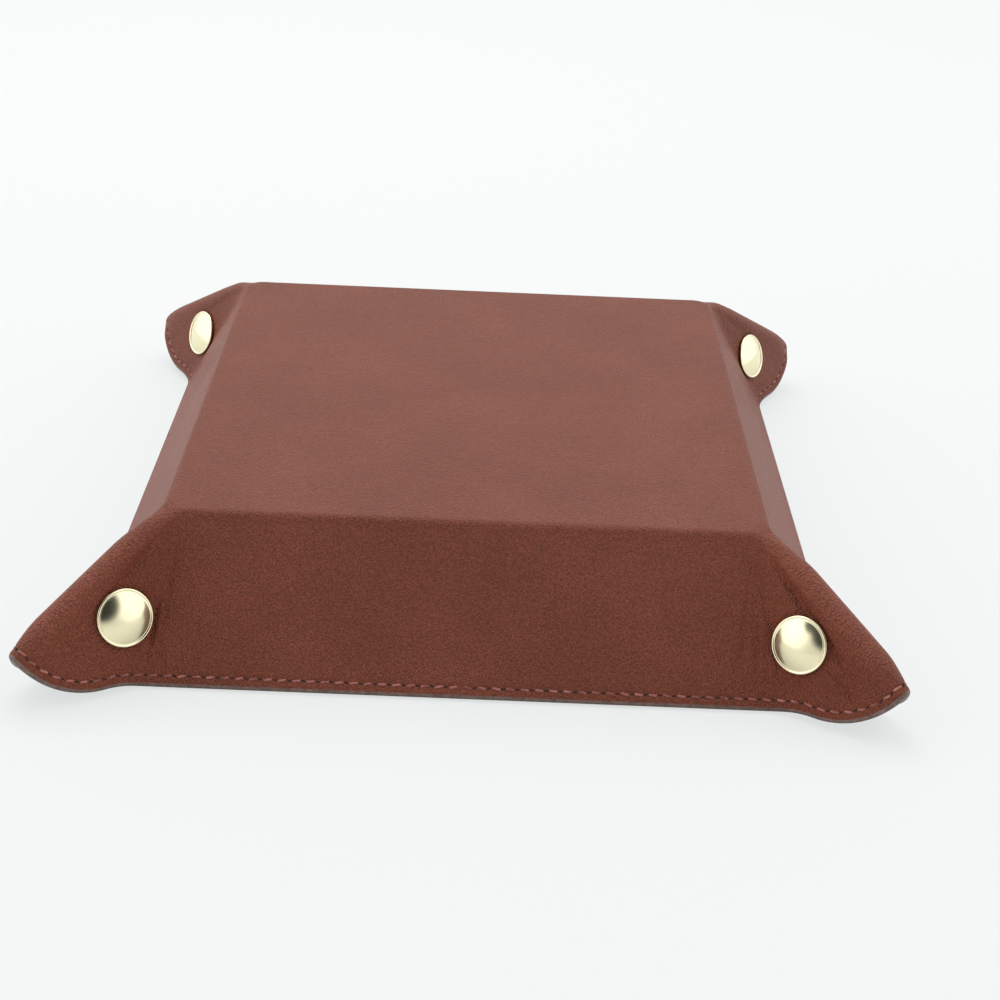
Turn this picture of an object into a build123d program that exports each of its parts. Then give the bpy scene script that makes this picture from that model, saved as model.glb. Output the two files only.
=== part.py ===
from build123d import *
import math
import os

# A leather valet tray, kept in the pose it was photographed in: upside down on its rim, with the
# flat base on top and four walls flaring out and down from it. At each corner the sheet is pinched
# into an ear with a rounded fold, and a snap through the ear's two halves holds it closed.
# Lengths are in millimetres and angles in degrees.

# The sheet and its folds. The crease angle is measured in the flat sheet, from the base edge to
# the crease that an ear turns about.
base_width = 155.0
base_depth = 176.0
wall_width = 45.0
flare_angle = 61.0
crease_angle = 101.0
fold_radius = 3.5
hinge_radius = 3.0
rim_round = 1.0

# The rounded tip of an ear, and the curve by which the rim sweeps out to it
tip_radius = 24.0
tip_reach = 56.0
rim_sweep_radius = 30.0

# Positions between closed and flat at which an ear half is cut clear of its other half
opening_steps = 9

# The layers
leather_thickness = 1.3
lining_thickness = 1.3
base_board_thickness = 2.0
wall_board_thickness = 1.0
base_board_margin = 5.5
wall_board_hinge_margin = 5.0
wall_board_rim_margin = 9.0
wall_board_crease_margin = 5.0
board_corner_radius = 3.0
pad_slope_angle = 40.0

# The snaps
snap_along_fold = 28.8
snap_from_fold = 10.3
cap_radius = 7.5
cap_dome_height = 2.2
cap_rim_radius = 0.5
cap_valley_height = 0.7
post_radius = 1.6
flange_thickness = 0.6
socket_flange_radius = 4.7
socket_radius = 3.9
socket_height = 4.4
socket_floor_height = 1.3
socket_bore_radius = 2.75
groove_below_mouth = 0.5
spring_wire_radius = 0.3
spring_gap_angle = 50.0
stud_flange_radius = 3.6
stud_neck_radius = 1.2
stud_head_radius = 2.1

# Clearances, the slack in finding an edge by its place, and the overrun of every cut
seam_clearance = 0.4
crease_clearance = 0.2
board_clearance = 0.1
post_clearance = 0.1
spring_clearance = 0.1
edge_slack = 0.1
overrun = 2.0

laminate = leather_thickness + lining_thickness
half_flare = math.radians(flare_angle / 2)
flare = math.radians(flare_angle)
sheet_corner_angle = (360 - 90) / 2
ear_angle = math.radians(sheet_corner_angle - crease_angle)
crease_lean = math.tan(math.radians(crease_angle - 90))


# One corner, seen from the outer corner point of the base: this wall's base edge runs along +X,
# the next wall's along +Y, and this wall goes out along -Y and down. Angles in the sheet are
# measured from the base edge.
edge_dir = Vector(1, 0, 0)
wall_dir = Vector(0, -math.cos(flare), -math.sin(flare))
wall_normal = Vector(0, -math.sin(flare), math.cos(flare))


def sheet_dir(angle):
    """Direction in the wall's plane at this angle to the base edge in the flat sheet."""
    turn = math.radians(angle)
    return edge_dir * math.cos(turn) + wall_dir * math.sin(turn)


def beyond_diagonal(direction):
    """How far a vector leaves the upright plane through the corner's diagonal."""
    return (direction.X - direction.Y) / math.sqrt(2)


crease_dir = sheet_dir(crease_angle)
crease_side = sheet_dir(crease_angle + 90)


def crease_fold_angle():
    """Turn of the ear out of the wall that lays its fold over the corner's diagonal."""
    along = math.cos(ear_angle) * beyond_diagonal(crease_dir)
    flat = math.sin(ear_angle) * beyond_diagonal(crease_side)
    raised = math.sin(ear_angle) * beyond_diagonal(wall_normal)
    turn = math.atan2(raised, flat) - math.acos(-along / math.hypot(flat, raised))
    return math.degrees(turn)


ear_turn_angle = crease_fold_angle()
ear_turn = math.radians(ear_turn_angle)
ear_across = crease_side * math.cos(ear_turn) + wall_normal * math.sin(ear_turn)
fold_dir = crease_dir * math.cos(ear_angle) + ear_across * math.sin(ear_angle)
ear_normal = wall_normal * math.cos(ear_turn) - crease_side * math.sin(ear_turn)
ear_inward = ear_normal.cross(fold_dir)

# The fold's top line lies in the diagonal plane and each ear half leans off that plane.
fold_drop = math.asin(-fold_dir.Z)
fold_top = Vector(-math.sin(fold_drop), -math.sin(fold_drop), math.sqrt(2) * math.cos(fold_drop))
ear_lean = math.asin(ear_normal.dot(fold_top.normalized()))
fold_sweep_angle = 90 - math.degrees(ear_lean)
crease_start = math.sqrt(2) * fold_radius * math.cos(ear_lean)
crease_origin = edge_dir * crease_start
ear_frame = Plane(origin=crease_origin, x_dir=fold_dir, z_dir=ear_normal)

# The sheet's rim crosses the ear at 45 degrees, sweeps out and turns round the ear's tip.
rim_reach = math.sqrt(2) * wall_width
tip_centre = tip_reach - tip_radius
rim_from_tip_centre = (rim_reach - tip_centre) / math.sqrt(2)
sweep_from_tip_centre = rim_from_tip_centre + rim_sweep_radius
sweep_tilt_angle = math.degrees(math.acos(sweep_from_tip_centre / (tip_radius + rim_sweep_radius)))
tip_turn_angle = 45 + sweep_tilt_angle
sweep_centre = (
    tip_centre + (tip_radius + rim_sweep_radius) * math.cos(math.radians(tip_turn_angle)),
    (tip_radius + rim_sweep_radius) * math.sin(math.radians(tip_turn_angle)),
)

base_height = (
    (wall_width - rim_round) * math.sin(flare)
    + (laminate - rim_round) * math.cos(flare)
    + rim_round
)
corner_point = Vector(-base_width / 2, -base_depth / 2, base_height)


def rim_edges(solid, level):
    """Edges of an ear layer that run along the rim, round the tip and over the fold's end."""
    picked = []
    for edge in solid.edges():
        middle = edge.position_at(1 / 2)
        on_level = abs(middle.Z + level) < edge_slack
        on_rim = abs(middle.X + middle.Y - rim_reach) < edge_slack
        on_tip = abs(math.hypot(middle.X - tip_centre, middle.Y) - tip_radius) < edge_slack
        from_sweep = math.hypot(middle.X - sweep_centre[0], middle.Y - sweep_centre[1])
        on_sweep = abs(from_sweep - rim_sweep_radius) < edge_slack
        from_axis = math.hypot(middle.Y, middle.Z + fold_radius)
        on_end = abs(middle.X - tip_reach) < edge_slack
        on_fold = abs(from_axis - (fold_radius - level)) < edge_slack
        if (on_level and (on_rim or on_tip or on_sweep)) or (on_end and on_fold):
            picked.append(edge)
    return picked


def ear_outline():
    """Flat part of an ear half: fold along X, crease on the far side, rim and rounded tip."""
    along_crease = Vector(math.cos(ear_angle), math.sin(ear_angle))
    off_crease = Vector(math.sin(ear_angle), -math.cos(ear_angle)) * crease_clearance
    crease_run = (rim_reach - off_crease.X - off_crease.Y) / (along_crease.X + along_crease.Y)
    crease_head = (crease_clearance / math.sin(ear_angle), 0)
    crease_end = off_crease + along_crease * crease_run
    tip = CenterArc((tip_centre, 0), tip_radius, 0, tip_turn_angle)
    sweep = CenterArc(sweep_centre, rim_sweep_radius, 180 + tip_turn_angle, -sweep_tilt_angle)
    outline = [
        Line(crease_head, (tip_reach, 0)),
        tip,
        sweep,
        Line(sweep @ 1, crease_end),
        Line(crease_end, crease_head),
    ]
    return make_face(outline)


def ear_layer(depth, thickness, rounded_level):
    """One layer of an ear half: the flat part and its share of the rolled fold."""
    flat = Pos(0, 0, -depth - thickness) * extrude(ear_outline(), thickness)
    band = Plane.XZ * Pos(tip_reach / 2, -depth - thickness / 2) * Rectangle(tip_reach, thickness)
    roll = revolve(band, Axis((0, 0, -fold_radius), (1, 0, 0)), fold_sweep_angle)
    layer = flat + roll
    layer = fillet(rim_edges(layer, rounded_level), rim_round)
    layer = ear_frame.location * layer
    for step in range(opening_steps + 1):
        layer = layer - as_the_ear_opens(other_half_room(), step / opening_steps)
    layer = split(layer, Plane.XY, keep=Keep.BOTTOM)
    for opened_share in (0, 1):
        layer = layer - as_the_ear_opens(base_corner_room(), opened_share)
    return layer - snap_hole()


def other_half_room():
    """Space beyond the corner's diagonal, which the ear's other half turns in."""
    side = 4 * tip_reach
    block = Pos(0, 0, (side - seam_clearance) / 2) * Box(side, side, side)
    return Plane(origin=(0, 0, 0), z_dir=(-1, 1, 0)).location * block


def base_corner_room():
    """Space round the base's rounded corner that an ear keeps out of."""
    side = base_width / 2 + seam_clearance
    height = laminate + base_board_thickness + overrun
    block = extrude(RectangleRounded(2 * side, 2 * side, crease_start + seam_clearance), height)
    return Pos(base_width / 2, base_width / 2, overrun - height) * block


def as_the_ear_opens(room, opened_share):
    """A fixed space, moved to where it lies about the ear when the tray is opened by this share."""
    room = room.rotate(Axis((0, 0, 0), edge_dir), flare_angle * opened_share)
    return room.rotate(Axis(crease_origin, crease_dir), -ear_turn_angle * opened_share)


snap_frame = Plane(
    origin=crease_origin + fold_dir * snap_along_fold + ear_inward * snap_from_fold,
    x_dir=fold_dir,
    z_dir=ear_normal,
)
join_depth = beyond_diagonal(snap_frame.origin) / beyond_diagonal(ear_normal)


def snap_hole():
    """Hole punched through an ear half for the cap's post."""
    hole = Cylinder(post_radius + post_clearance, 2 * (laminate + overrun))
    return snap_frame.location * hole


def turned(outline):
    """Solid of revolution about the snap's axis, from a closed outline of (radius, height)."""
    face = make_face(Plane.XZ * Polyline(*outline, close=True))
    return revolve(face, Axis.Z, 360)


def snap_cap():
    """Domed cap with a rolled rim, and the post that clamps the ear and its inner half."""
    rim_centre = cap_radius - cap_rim_radius
    dome_edge = rim_centre - cap_rim_radius / 2
    dome_rise = cap_dome_height - cap_valley_height
    dome_radius = (dome_edge**2 + dome_rise**2) / (2 * dome_rise)
    half_way = math.asin(dome_edge / dome_radius) / 2
    dome_middle = (
        dome_radius * math.sin(half_way),
        cap_dome_height - dome_radius * (1 - math.cos(half_way)),
    )
    dome = [
        Line((0, 0), (dome_edge, 0)),
        Line((dome_edge, 0), (dome_edge, cap_valley_height)),
        ThreePointArc((dome_edge, cap_valley_height), dome_middle, (0, cap_dome_height)),
        Line((0, cap_dome_height), (0, 0)),
    ]
    cap = revolve(make_face(Plane.XZ * Wire(dome)), Axis.Z, 360)
    rim = Pos(0, 0, cap_rim_radius) * Torus(rim_centre, cap_rim_radius)
    post_length = laminate + socket_floor_height
    post = Pos(0, 0, -post_length / 2) * Cylinder(post_radius, post_length)
    return snap_frame.location * (cap + rim + post)


def snap_socket():
    """Cup riveted inside one ear half: flange, floor, and a grooved wall for the spring."""
    inner = socket_bore_radius
    groove = socket_bore_radius + spring_wire_radius + spring_clearance
    groove_top = socket_height - groove_below_mouth
    groove_bottom = groove_top - 2 * (spring_wire_radius + spring_clearance)
    outline = [
        (post_radius, 0),
        (socket_flange_radius, 0),
        (socket_flange_radius, flange_thickness),
        (socket_radius, flange_thickness),
        (socket_radius, socket_height),
        (inner, socket_height),
        (inner, groove_top),
        (groove, groove_top),
        (groove, groove_bottom),
        (inner, groove_bottom),
        (inner, socket_floor_height),
        (post_radius, socket_floor_height),
    ]
    return inside_ear(turned(outline))


def snap_spring():
    """Split wire ring that rests in the socket's groove and grips the stud's head."""
    height = socket_height - groove_below_mouth - spring_wire_radius - spring_clearance
    wire = Plane.XZ * Pos(socket_bore_radius, height) * Circle(spring_wire_radius)
    ring = revolve(wire, Axis.Z, 360 - spring_gap_angle)
    return inside_ear(ring)


def snap_stud():
    """Ball-headed stud riveted inside the other ear half, its ball where the two axes meet."""
    centre = join_depth - laminate
    neck_joint = centre - math.sqrt(stud_head_radius**2 - stud_neck_radius**2)
    flange = turned(
        [
            (post_radius, 0),
            (stud_flange_radius, 0),
            (stud_flange_radius, flange_thickness),
            (stud_neck_radius + flange_thickness, socket_floor_height + flange_thickness),
            (0, socket_floor_height + flange_thickness),
            (0, socket_floor_height),
            (post_radius, socket_floor_height),
        ]
    )
    neck_length = neck_joint - socket_floor_height
    neck = Pos(0, 0, neck_joint - neck_length / 2) * Cylinder(stud_neck_radius, neck_length)
    head = Pos(0, 0, centre) * Sphere(stud_head_radius)
    return inside_ear(flange + (neck + head))


def inside_ear(solid):
    """Move a solid that stands on its own base plane on to the ear's lined face."""
    lined_face = Plane(
        origin=snap_frame.origin - ear_normal * laminate,
        x_dir=fold_dir,
        z_dir=-ear_normal,
    )
    return lined_face.location * solid


def pad_spread(board_thickness):
    """How far a pad's foot reaches out past the board under it."""
    return lining_thickness + board_thickness * math.tan(math.radians(pad_slope_angle))


# The walls, each built flat: X along the base edge, Y down the wall, Z out of the outer face.
def wall_outline(edge_length):
    """Wall between its two creases, from the base edge to the rim."""
    top = edge_length / 2 - crease_start
    foot = top + wall_width * crease_lean
    outline = Polyline((-top, 0), (top, 0), (foot, wall_width), (-foot, wall_width), close=True)
    return make_face(outline)


def board_outline(edge_length, growth):
    """Outline of the stiffening board in a wall, or of the space round it."""
    top = edge_length / 2 - crease_start - wall_board_crease_margin
    head = wall_board_hinge_margin - growth
    foot = wall_width - wall_board_rim_margin + growth
    grown = growth * math.hypot(1, crease_lean)
    outline = Polyline(
        (-top - head * crease_lean - grown, head),
        (top + head * crease_lean + grown, head),
        (top + foot * crease_lean + grown, foot),
        (-top - foot * crease_lean - grown, foot),
        close=True,
    )
    face = make_face(outline)
    return fillet(face.vertices(), board_corner_radius + growth)


def edge_relief_face():
    """Section of the space above the rounded bend between the base and a wall."""
    reach = hinge_radius * math.tan(half_flare)
    centre = Vector(reach, -hinge_radius)
    base_side = centre + Vector(-math.sin(flare), math.cos(flare)) * (hinge_radius + overrun)
    wall_side = centre + Vector(0, hinge_radius + overrun)
    middle_dir = Vector(-math.sin(half_flare), math.cos(half_flare))
    middle = centre + middle_dir * 2 * (hinge_radius + overrun)
    wedge = make_face(Polyline(centre, wall_side, middle, base_side, close=True))
    return Plane.YZ * (wedge - Pos(centre.X, centre.Y) * Circle(hinge_radius))


def edge_relief(length):
    """What is cut away above the rounded bend along a straight edge, in the wall's frame."""
    return extrude(edge_relief_face(), length / 2, both=True)


def mitred(layer):
    """Cut a wall's layer back to the mid plane of its bend with the base."""
    mid_plane = Plane(origin=(0, 0, 0), z_dir=(0, math.cos(half_flare), math.sin(half_flare)))
    return split(layer, mid_plane, keep=Keep.TOP)


def rounded_rim(layer, level):
    """Round the rim edge at one level of a wall's layer."""
    picked = []
    for edge in layer.edges():
        middle = edge.position_at(1 / 2)
        if abs(middle.Y - wall_width) < edge_slack and abs(middle.Z - level) < edge_slack:
            picked.append(edge)
    return fillet(picked, rim_round)


def wall_leather(edge_length):
    layer = Pos(0, 0, -leather_thickness) * extrude(wall_outline(edge_length), leather_thickness)
    layer = rounded_rim(layer, 0)
    return mitred(layer) - edge_relief(edge_length)


def wall_lining(edge_length):
    """Lining of a wall, moulded over the board in a pad with sloping sides."""
    layer = Pos(0, 0, -laminate) * extrude(wall_outline(edge_length), lining_thickness)
    layer = mitred(rounded_rim(layer, -laminate))
    pad_height = lining_thickness + wall_board_thickness
    foot = board_outline(edge_length, pad_spread(wall_board_thickness))
    pad = extrude(foot, -pad_height, taper=pad_slope_angle / 2)
    room_outline = board_outline(edge_length, board_clearance)
    room = extrude(room_outline, -wall_board_thickness - board_clearance)
    under_leather = Pos(0, 0, -leather_thickness)
    return (layer + under_leather * pad) - under_leather * room


def wall_board(edge_length):
    board = extrude(board_outline(edge_length, 0), -wall_board_thickness)
    return Pos(0, 0, -leather_thickness) * board


wall_sides = {
    "front": (base_width, Vector(0, -1, 0), base_depth / 2),
    "back": (base_width, Vector(0, 1, 0), base_depth / 2),
    "left": (base_depth, Vector(-1, 0, 0), base_width / 2),
    "right": (base_depth, Vector(1, 0, 0), base_width / 2),
}


def wall_frame(outward, distance):
    """Frame of a wall against a base whose upper face is at height zero."""
    normal = outward * math.sin(flare) + Vector(0, 0, math.cos(flare))
    down = outward * math.cos(flare) - Vector(0, 0, math.sin(flare))
    return Plane(origin=outward * distance, x_dir=down.cross(normal), z_dir=normal)


# The base, built with its upper face at height zero.
def base_layer(depth, thickness):
    """One layer of the base, its edges mitred to meet the walls."""
    inset = depth * math.tan(half_flare)
    outline = RectangleRounded(base_width - 2 * inset, base_depth - 2 * inset, crease_start - inset)
    return Pos(0, 0, -depth) * extrude(outline, -thickness, taper=flare_angle / 2)


def base_leather():
    """Outer leather of the base, its edge rounded as the upper half of the bends."""
    layer = base_layer(0, leather_thickness)
    for side in wall_sides:
        edge_length, outward, distance = wall_sides[side]
        frame = wall_frame(outward, distance)
        straight = edge_length / 2 - crease_start
        layer = layer - frame.location * edge_relief(2 * straight)
        profile = frame.location * Pos(straight, 0, 0) * edge_relief_face()
        pivot = frame.location.position + frame.x_dir * straight - outward * crease_start
        for_corner = revolve(profile, Axis(pivot, (0, 0, 1)), 90 * turn_sign(frame, outward))
        layer = layer - for_corner
    return layer


def turn_sign(frame, outward):
    """Way round the corner from the positive end of a wall's frame."""
    return 1 if outward.cross(frame.x_dir).Z > 0 else -1


def base_pad_outline(growth):
    """Outline of the base's board, or of the space or pad round it."""
    margin = base_board_margin - growth
    width = base_width - 2 * margin
    depth = base_depth - 2 * margin
    return RectangleRounded(width, depth, board_corner_radius + growth)


def base_lining():
    """Lining of the base, moulded over the base board in a pad with sloping sides."""
    layer = base_layer(leather_thickness, lining_thickness)
    pad_height = lining_thickness + base_board_thickness
    foot = base_pad_outline(pad_spread(base_board_thickness))
    pad = extrude(foot, -pad_height, taper=pad_slope_angle / 2)
    room = extrude(base_pad_outline(board_clearance), -base_board_thickness - board_clearance)
    under_leather = Pos(0, 0, -leather_thickness)
    return (layer + under_leather * pad) - under_leather * room


def base_board():
    return Pos(0, 0, -leather_thickness) * extrude(base_pad_outline(0), -base_board_thickness)


def in_place_on_base(solid):
    return Pos(0, 0, base_height) * solid


def write(name, solid):
    export_step(solid, os.path.join("parts", name + ".step"))


def write_base():
    write("base_leather", in_place_on_base(base_leather()))
    write("base_lining", in_place_on_base(base_lining()))
    write("base_board", in_place_on_base(base_board()))


def write_walls():
    """Front and back walls along the width, left and right walls along the depth."""
    makers = {"leather": wall_leather, "lining": wall_lining, "board": wall_board}
    for side, (edge_length, outward, distance) in wall_sides.items():
        frame = wall_frame(outward, distance)
        for layer, maker in makers.items():
            write(side + "_wall_" + layer, in_place_on_base(frame.location * maker(edge_length)))


def write_ears():
    """Each corner has two ear halves, mirror images over the diagonal plane through its fold."""
    half = {
        "leather": ear_layer(0, leather_thickness, 0),
        "lining": ear_layer(leather_thickness, lining_thickness, laminate),
        "cap": snap_cap(),
    }
    diagonal = Plane(origin=(0, 0, 0), z_dir=(1, -1, 0))
    corners = {"front_left": (1, 1), "front_right": (-1, 1), "back_left": (1, -1), "back_right": (-1, -1)}
    end_extras = {"socket": snap_socket(), "spring": snap_spring()}
    side_extras = {"stud": snap_stud()}
    for corner, (across, along) in corners.items():
        for owner, extras in (("end", end_extras), ("side", side_extras)):
            for piece, solid in {**half, **extras}.items():
                placed = mirror(solid, diagonal) if owner == "side" else solid
                placed = Pos(corner_point) * placed
                if across < 0:
                    placed = mirror(placed, Plane.YZ)
                if along < 0:
                    placed = mirror(placed, Plane.XZ)
                write(corner + "_ear_" + owner + "_" + piece, placed)


os.makedirs("parts", exist_ok=True)
write_base()
write_walls()
write_ears()
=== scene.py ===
import math

import bpy
import numpy as np
from mathutils import Matrix, Vector


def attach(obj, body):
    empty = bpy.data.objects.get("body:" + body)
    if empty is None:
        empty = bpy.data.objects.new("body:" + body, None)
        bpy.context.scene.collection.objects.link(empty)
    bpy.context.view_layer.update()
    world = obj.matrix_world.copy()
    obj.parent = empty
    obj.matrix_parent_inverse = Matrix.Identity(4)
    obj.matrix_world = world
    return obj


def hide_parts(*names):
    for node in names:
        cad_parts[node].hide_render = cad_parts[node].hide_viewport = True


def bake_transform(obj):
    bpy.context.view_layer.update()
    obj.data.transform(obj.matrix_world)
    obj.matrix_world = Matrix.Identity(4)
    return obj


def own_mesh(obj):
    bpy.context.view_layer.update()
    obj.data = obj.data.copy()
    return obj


# A leather valet tray upside down on a white ground, in metres. One rule carries every point of the
# flat sheet to its folded place, averaged over a small disc so that each fold comes out rounded.

base_width = 0.155
base_depth = 0.176
wall_width = 0.045
flare = math.radians(61)
crease_angle = math.radians(101)
fold_radius = 0.0035
tip_radius = 0.024
tip_reach = 0.056
rim_sweep_radius = 0.030
laminate = 0.0026
rim_round = 0.001
snap_along_fold = 0.0288
snap_from_fold = 0.0103
cap_radius = 0.0075

diagonal_angle = math.radians(135)
ear_angle = diagonal_angle - crease_angle
rng = np.random.default_rng(7)


def unit(v):
    v = np.asarray(v, float)
    return v / np.linalg.norm(v)


def each_unit(vectors):
    return vectors / np.linalg.norm(vectors, axis=-1, keepdims=True)


# One corner of the tray, seen from the base's outer corner point: this wall's edge along +X, the next
# wall's along +Y. The sheet's own flat coordinates are x and y, with the wall at negative y.
edge_dir = np.array([1.0, 0.0, 0.0])
wall_dir = np.array([0.0, -math.cos(flare), -math.sin(flare)])
wall_normal = np.array([0.0, -math.sin(flare), math.cos(flare)])
crease_dir = math.cos(crease_angle) * edge_dir + math.sin(crease_angle) * wall_dir
crease_side = -math.sin(crease_angle) * edge_dir + math.cos(crease_angle) * wall_dir


def beyond_diagonal(v):
    return v[0] - v[1]


def crease_fold():
    """Turn of the ear out of the wall that lays its fold over the corner's diagonal."""
    along = math.cos(ear_angle) * beyond_diagonal(crease_dir)
    level = math.sin(ear_angle) * beyond_diagonal(crease_side)
    raised = math.sin(ear_angle) * beyond_diagonal(wall_normal)
    return math.atan2(raised, level) - math.acos(-along / math.hypot(level, raised))


ear_turn = crease_fold()
ear_across = math.cos(ear_turn) * crease_side + math.sin(ear_turn) * wall_normal
fold_dir = math.cos(ear_angle) * crease_dir + math.sin(ear_angle) * ear_across
ear_normal = math.cos(ear_turn) * wall_normal - math.sin(ear_turn) * crease_side
ear_inward = np.cross(ear_normal, fold_dir)
fold_drop = math.asin(-fold_dir[2])
fold_top = unit([-math.sin(fold_drop), -math.sin(fold_drop), math.sqrt(2) * math.cos(fold_drop)])
ear_lean = math.asin(ear_normal @ fold_top)
half_fold = fold_radius * math.cos(ear_lean)
crease_start = math.sqrt(2) * half_fold
crease_origin = np.array([crease_start, 0.0, 0.0])
chord_dir = unit([-1.0, 1.0, 0.0])
base_height = (
    (wall_width - rim_round) * math.sin(flare) + (laminate - rim_round) * math.cos(flare) + rim_round
)

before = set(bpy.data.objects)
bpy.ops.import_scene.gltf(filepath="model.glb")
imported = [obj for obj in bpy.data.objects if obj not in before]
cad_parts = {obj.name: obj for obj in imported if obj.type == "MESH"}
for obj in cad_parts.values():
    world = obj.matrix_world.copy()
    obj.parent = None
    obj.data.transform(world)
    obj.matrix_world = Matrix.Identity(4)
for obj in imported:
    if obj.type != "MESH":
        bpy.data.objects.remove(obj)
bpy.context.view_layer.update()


def smooth_step(low, high, value):
    t = np.clip((value - low) / (high - low), 0, 1)
    return t * t * (3 - 2 * t)


# The rim of an ear in distances along its fold and inward from it: the sheet's straight rim, a hollow
# sweep out, and the rounded tip.
rim_reach = math.sqrt(2) * wall_width
tip_centre = np.array([tip_reach - tip_radius, 0.0])
rim_from_tip_centre = (rim_reach - tip_centre[0]) / math.sqrt(2)
sweep_tilt = math.acos((rim_from_tip_centre + rim_sweep_radius) / (tip_radius + rim_sweep_radius))
tip_turn = math.pi / 4 + sweep_tilt
tip_end_dir = np.array([math.cos(tip_turn), math.sin(tip_turn)])
rim_outward_dir = np.array([1.0, 1.0]) / math.sqrt(2)
sweep_centre = tip_centre + (tip_radius + rim_sweep_radius) * tip_end_dir
sweep_start = sweep_centre - rim_sweep_radius * rim_outward_dir
sweep_end = tip_centre + tip_radius * tip_end_dir


def ear_coordinates(x, y):
    """Distance along the fold and inward from it, of flat points on this side of the diagonal."""
    near, far = np.maximum(x, y), np.minimum(x, y)
    along = (crease_start - near - far) / math.sqrt(2)
    inward = (near - crease_start - far) / math.sqrt(2)
    return along, inward


def sheet_vector(along, inward):
    """Sheet vector of a vector given along and inward from the fold."""
    return np.array([inward - along, -inward - along]) / math.sqrt(2)


def sheet_point(along, inward):
    return sheet_vector(along, inward) + np.array([crease_start, 0.0])


arch_rise_length = 0.009


def folded_half(x, y):
    """Place of flat points on this side of the corner's diagonal, with sharp folds."""
    down = -y
    along, inward = ear_coordinates(x, y)
    on_base = np.stack([x, y, np.zeros_like(x)], -1)
    on_wall = x[..., None] * edge_dir + down[..., None] * wall_dir
    on_fold_line = crease_origin + along[..., None] * fold_dir
    on_ear = on_fold_line + inward[..., None] * ear_inward
    share = np.clip(-inward / half_fold, 0, 1)
    turn = share * (math.pi / 2 - ear_lean)
    arch = (
        on_fold_line
        - np.sin(turn)[..., None] * fold_radius * ear_inward
        + (np.cos(turn) - 1)[..., None] * fold_radius * ear_normal
    )
    chord = on_fold_line - inward[..., None] * chord_dir
    rise = smooth_step(0, arch_rise_length, along)[..., None]
    on_fold = chord + rise * (arch - chord)
    around = np.arctan2(down, x - crease_start)
    place = np.where((around <= crease_angle)[..., None], on_wall, on_ear)
    place = np.where(((inward < 0) & (along > 0))[..., None], on_fold, place)
    base_side = (y >= 0) & (x + y >= crease_start)
    return np.where(base_side[..., None], on_base, place)


def folded(x, y):
    """Place of any flat point near one corner, with sharp folds."""
    other = x < y
    place = folded_half(np.where(other, y, x), np.where(other, x, y))
    swapped = place[..., [1, 0, 2]]
    return np.where(other[..., None], swapped, place)


base_softness = 0.0023
shoulder_softness = 0.0048
crease_softness = 0.0062
fold_softness = 0.0024
shoulder_full = 0.0035
shoulder_fades = (0.006, 0.012)
crease_spread = math.radians(15)
crease_grows = (0.002, 0.030)
fold_band_share = 2.4


def softness(x, y):
    """Radius of the disc that a point is averaged over.

    It is small on the base and at the fold, wider just below the base's edge, so that the wall
    leaves it in a round shoulder, and widest at the crease between wall and ear.
    """
    near, far = np.maximum(x, y), np.minimum(x, y)
    shoulder = smooth_step(0, shoulder_full, -far) * (1 - smooth_step(*shoulder_fades, -far))
    soft = base_softness + shoulder_softness * shoulder
    reach = np.hypot(near - crease_start, far)
    around = np.arctan2(-far, near - crease_start)
    at_crease = np.exp(-(((around - crease_angle) / crease_spread) ** 2)) * (far < 0)
    grown = smooth_step(*crease_grows, reach)
    soft = soft + (crease_softness - soft) * at_crease * grown
    from_diagonal = np.abs(near - far) / math.sqrt(2)
    at_fold = (1 - smooth_step(half_fold, fold_band_share * half_fold, from_diagonal)) * (far < 0)
    return soft + (fold_softness - soft) * at_fold


disc_rings = ((0.3, 6), (0.6, 10), (0.9, 16))
flat_round_cap_share = 1.4


def disc_samples():
    """Offsets and weights that average over a disc of radius one."""
    points = [(0.0, 0.0, 1.0)]
    for ring, count in disc_rings:
        for i in range(count):
            angle = 2 * math.pi * i / count + ring
            weight = (1 - ring**2) ** 1.5
            points.append((ring * math.cos(angle), ring * math.sin(angle), weight * 2))
    return points


def leather_rule(x, y):
    """Place of flat points with rounded folds."""
    soft = softness(x, y)
    total = 0
    place = np.zeros(x.shape + (3,))
    for dx, dy, weight in disc_samples():
        place += weight * folded(x + dx * soft, y + dy * soft)
        total += weight
    return pressed_under_cap(x, y, place / total)


def cap_distance(x, y):
    """Distance of a flat point near one corner from the middle of its snap cap."""
    along, inward = ear_coordinates(x, y)
    return np.hypot(along - snap_along_fold, inward - snap_from_fold)


def pressed_under_cap(x, y, place):
    """Flatten the leather under each snap cap on to the ear's plane."""
    press = 1 - smooth_step(cap_radius, flat_round_cap_share * cap_radius, cap_distance(x, y))
    along, inward = ear_coordinates(x, y)
    plane = crease_origin + along[..., None] * fold_dir + inward[..., None] * ear_inward
    plane = np.where((x < y)[..., None], plane[..., [1, 0, 2]], plane)
    return place + press[..., None] * (plane - place)


difference_step = 0.0003


def measured(flat):
    """Flat points with their place on the leather's face, its normal and the sheet's two directions."""
    x, y = flat[..., 0], flat[..., 1]
    step = difference_step
    across = (leather_rule(x + step, y) - leather_rule(x - step, y)) / (2 * step)
    along = (leather_rule(x, y + step) - leather_rule(x, y - step)) / (2 * step)
    normal = each_unit(np.cross(across, along))
    return {"flat": flat, "place": leather_rule(x, y), "normal": normal, "across": across, "along": along}


def cut(patch, rows, columns):
    """Part of a measured grid."""
    return {key: value[rows, columns] for key, value in patch.items()}


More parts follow.
